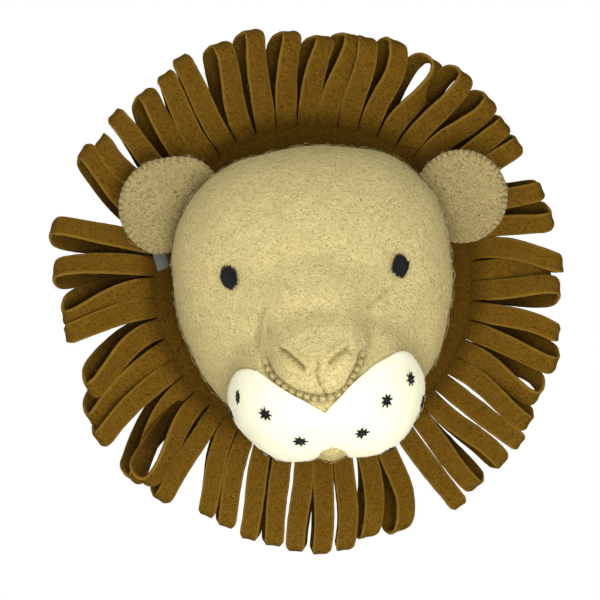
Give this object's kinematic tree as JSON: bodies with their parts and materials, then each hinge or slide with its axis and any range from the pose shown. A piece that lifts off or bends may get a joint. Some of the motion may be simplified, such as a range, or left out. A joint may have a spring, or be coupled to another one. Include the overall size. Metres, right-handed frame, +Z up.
{
  "type": "felt lion head wall decoration",
  "caption": "Stuffed felted wool lion head with a looped felt mane, round felt ears and a cream muzzle, flat at the back to hang on a wall.",
  "frame": {"origin": "on the wall, at the middle of the flat felt that closes the back", "axes": "+Z up, +X to a viewer's right, the lion looks out from the wall along -Y"},
  "size_m": [0.3068, 0.14, 0.3179],
  "materials": {
    "straw_felt": "needle-felted wool with loose fibres",
    "ochre_felt": "thick cut felt",
    "cream_felt": "smooth felt",
    "ear_felt": "mottled felt, blanket-stitched at the rim",
    "black_wool": "embroidery wool",
    "tag_weave": "fine woven tape"
  },
  "bodies": {
    "root": {"head": "straw_felt", "back_panel": "straw_felt", "mane": "ochre_felt", "ear_left": "ear_felt", "ear_right": "ear_felt", "muzzle_left": "cream_felt", "muzzle_right": "cream_felt", "eye_left": "black_wool", "eye_right": "black_wool", "whisker_spot_left_1": "black_wool", "whisker_spot_left_2": "black_wool", "whisker_spot_left_3": "black_wool", "whisker_spot_left_4": "black_wool", "whisker_spot_left_5": "black_wool", "whisker_spot_right_1": "black_wool", "whisker_spot_right_2": "black_wool", "whisker_spot_right_3": "black_wool", "whisker_spot_right_4": "black_wool", "whisker_spot_right_5": "black_wool", "label": "tag_weave"}
  },
  "joints": []
}
